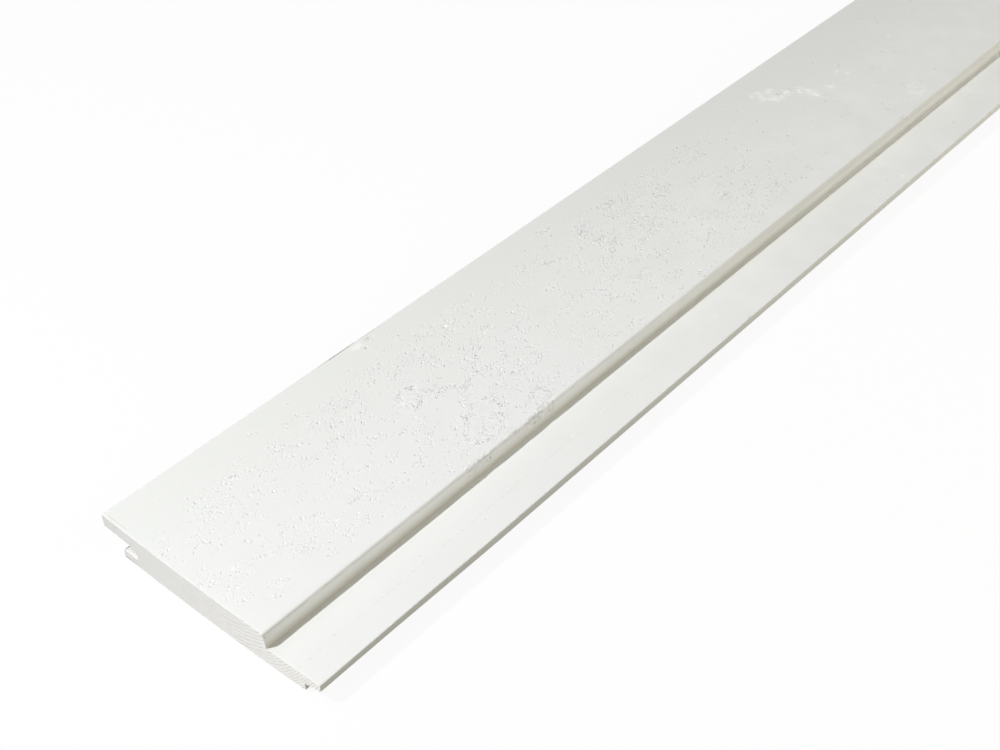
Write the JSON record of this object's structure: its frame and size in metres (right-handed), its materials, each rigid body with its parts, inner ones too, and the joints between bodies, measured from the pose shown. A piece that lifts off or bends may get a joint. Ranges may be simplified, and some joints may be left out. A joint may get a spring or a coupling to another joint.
{
  "type": "cladding board",
  "caption": "Painted timber cladding board with a face lip over a groove on one edge and a slanted shoulder, ledge and tapered tongue on the other.",
  "frame": {"origin": "on the back face, under the centre of the board's bounding box", "axes": "+X across the board from the groove edge to the tongue edge, +Y along its length, +Z out of the face"},
  "size_m": [0.148, 2.4, 0.019],
  "materials": {
    "painted_timber": "opaque white exterior paint, satin, over fine-sawn softwood"
  },
  "bodies": {
    "root": {"cladding_board": "painted_timber"}
  },
  "joints": []
}
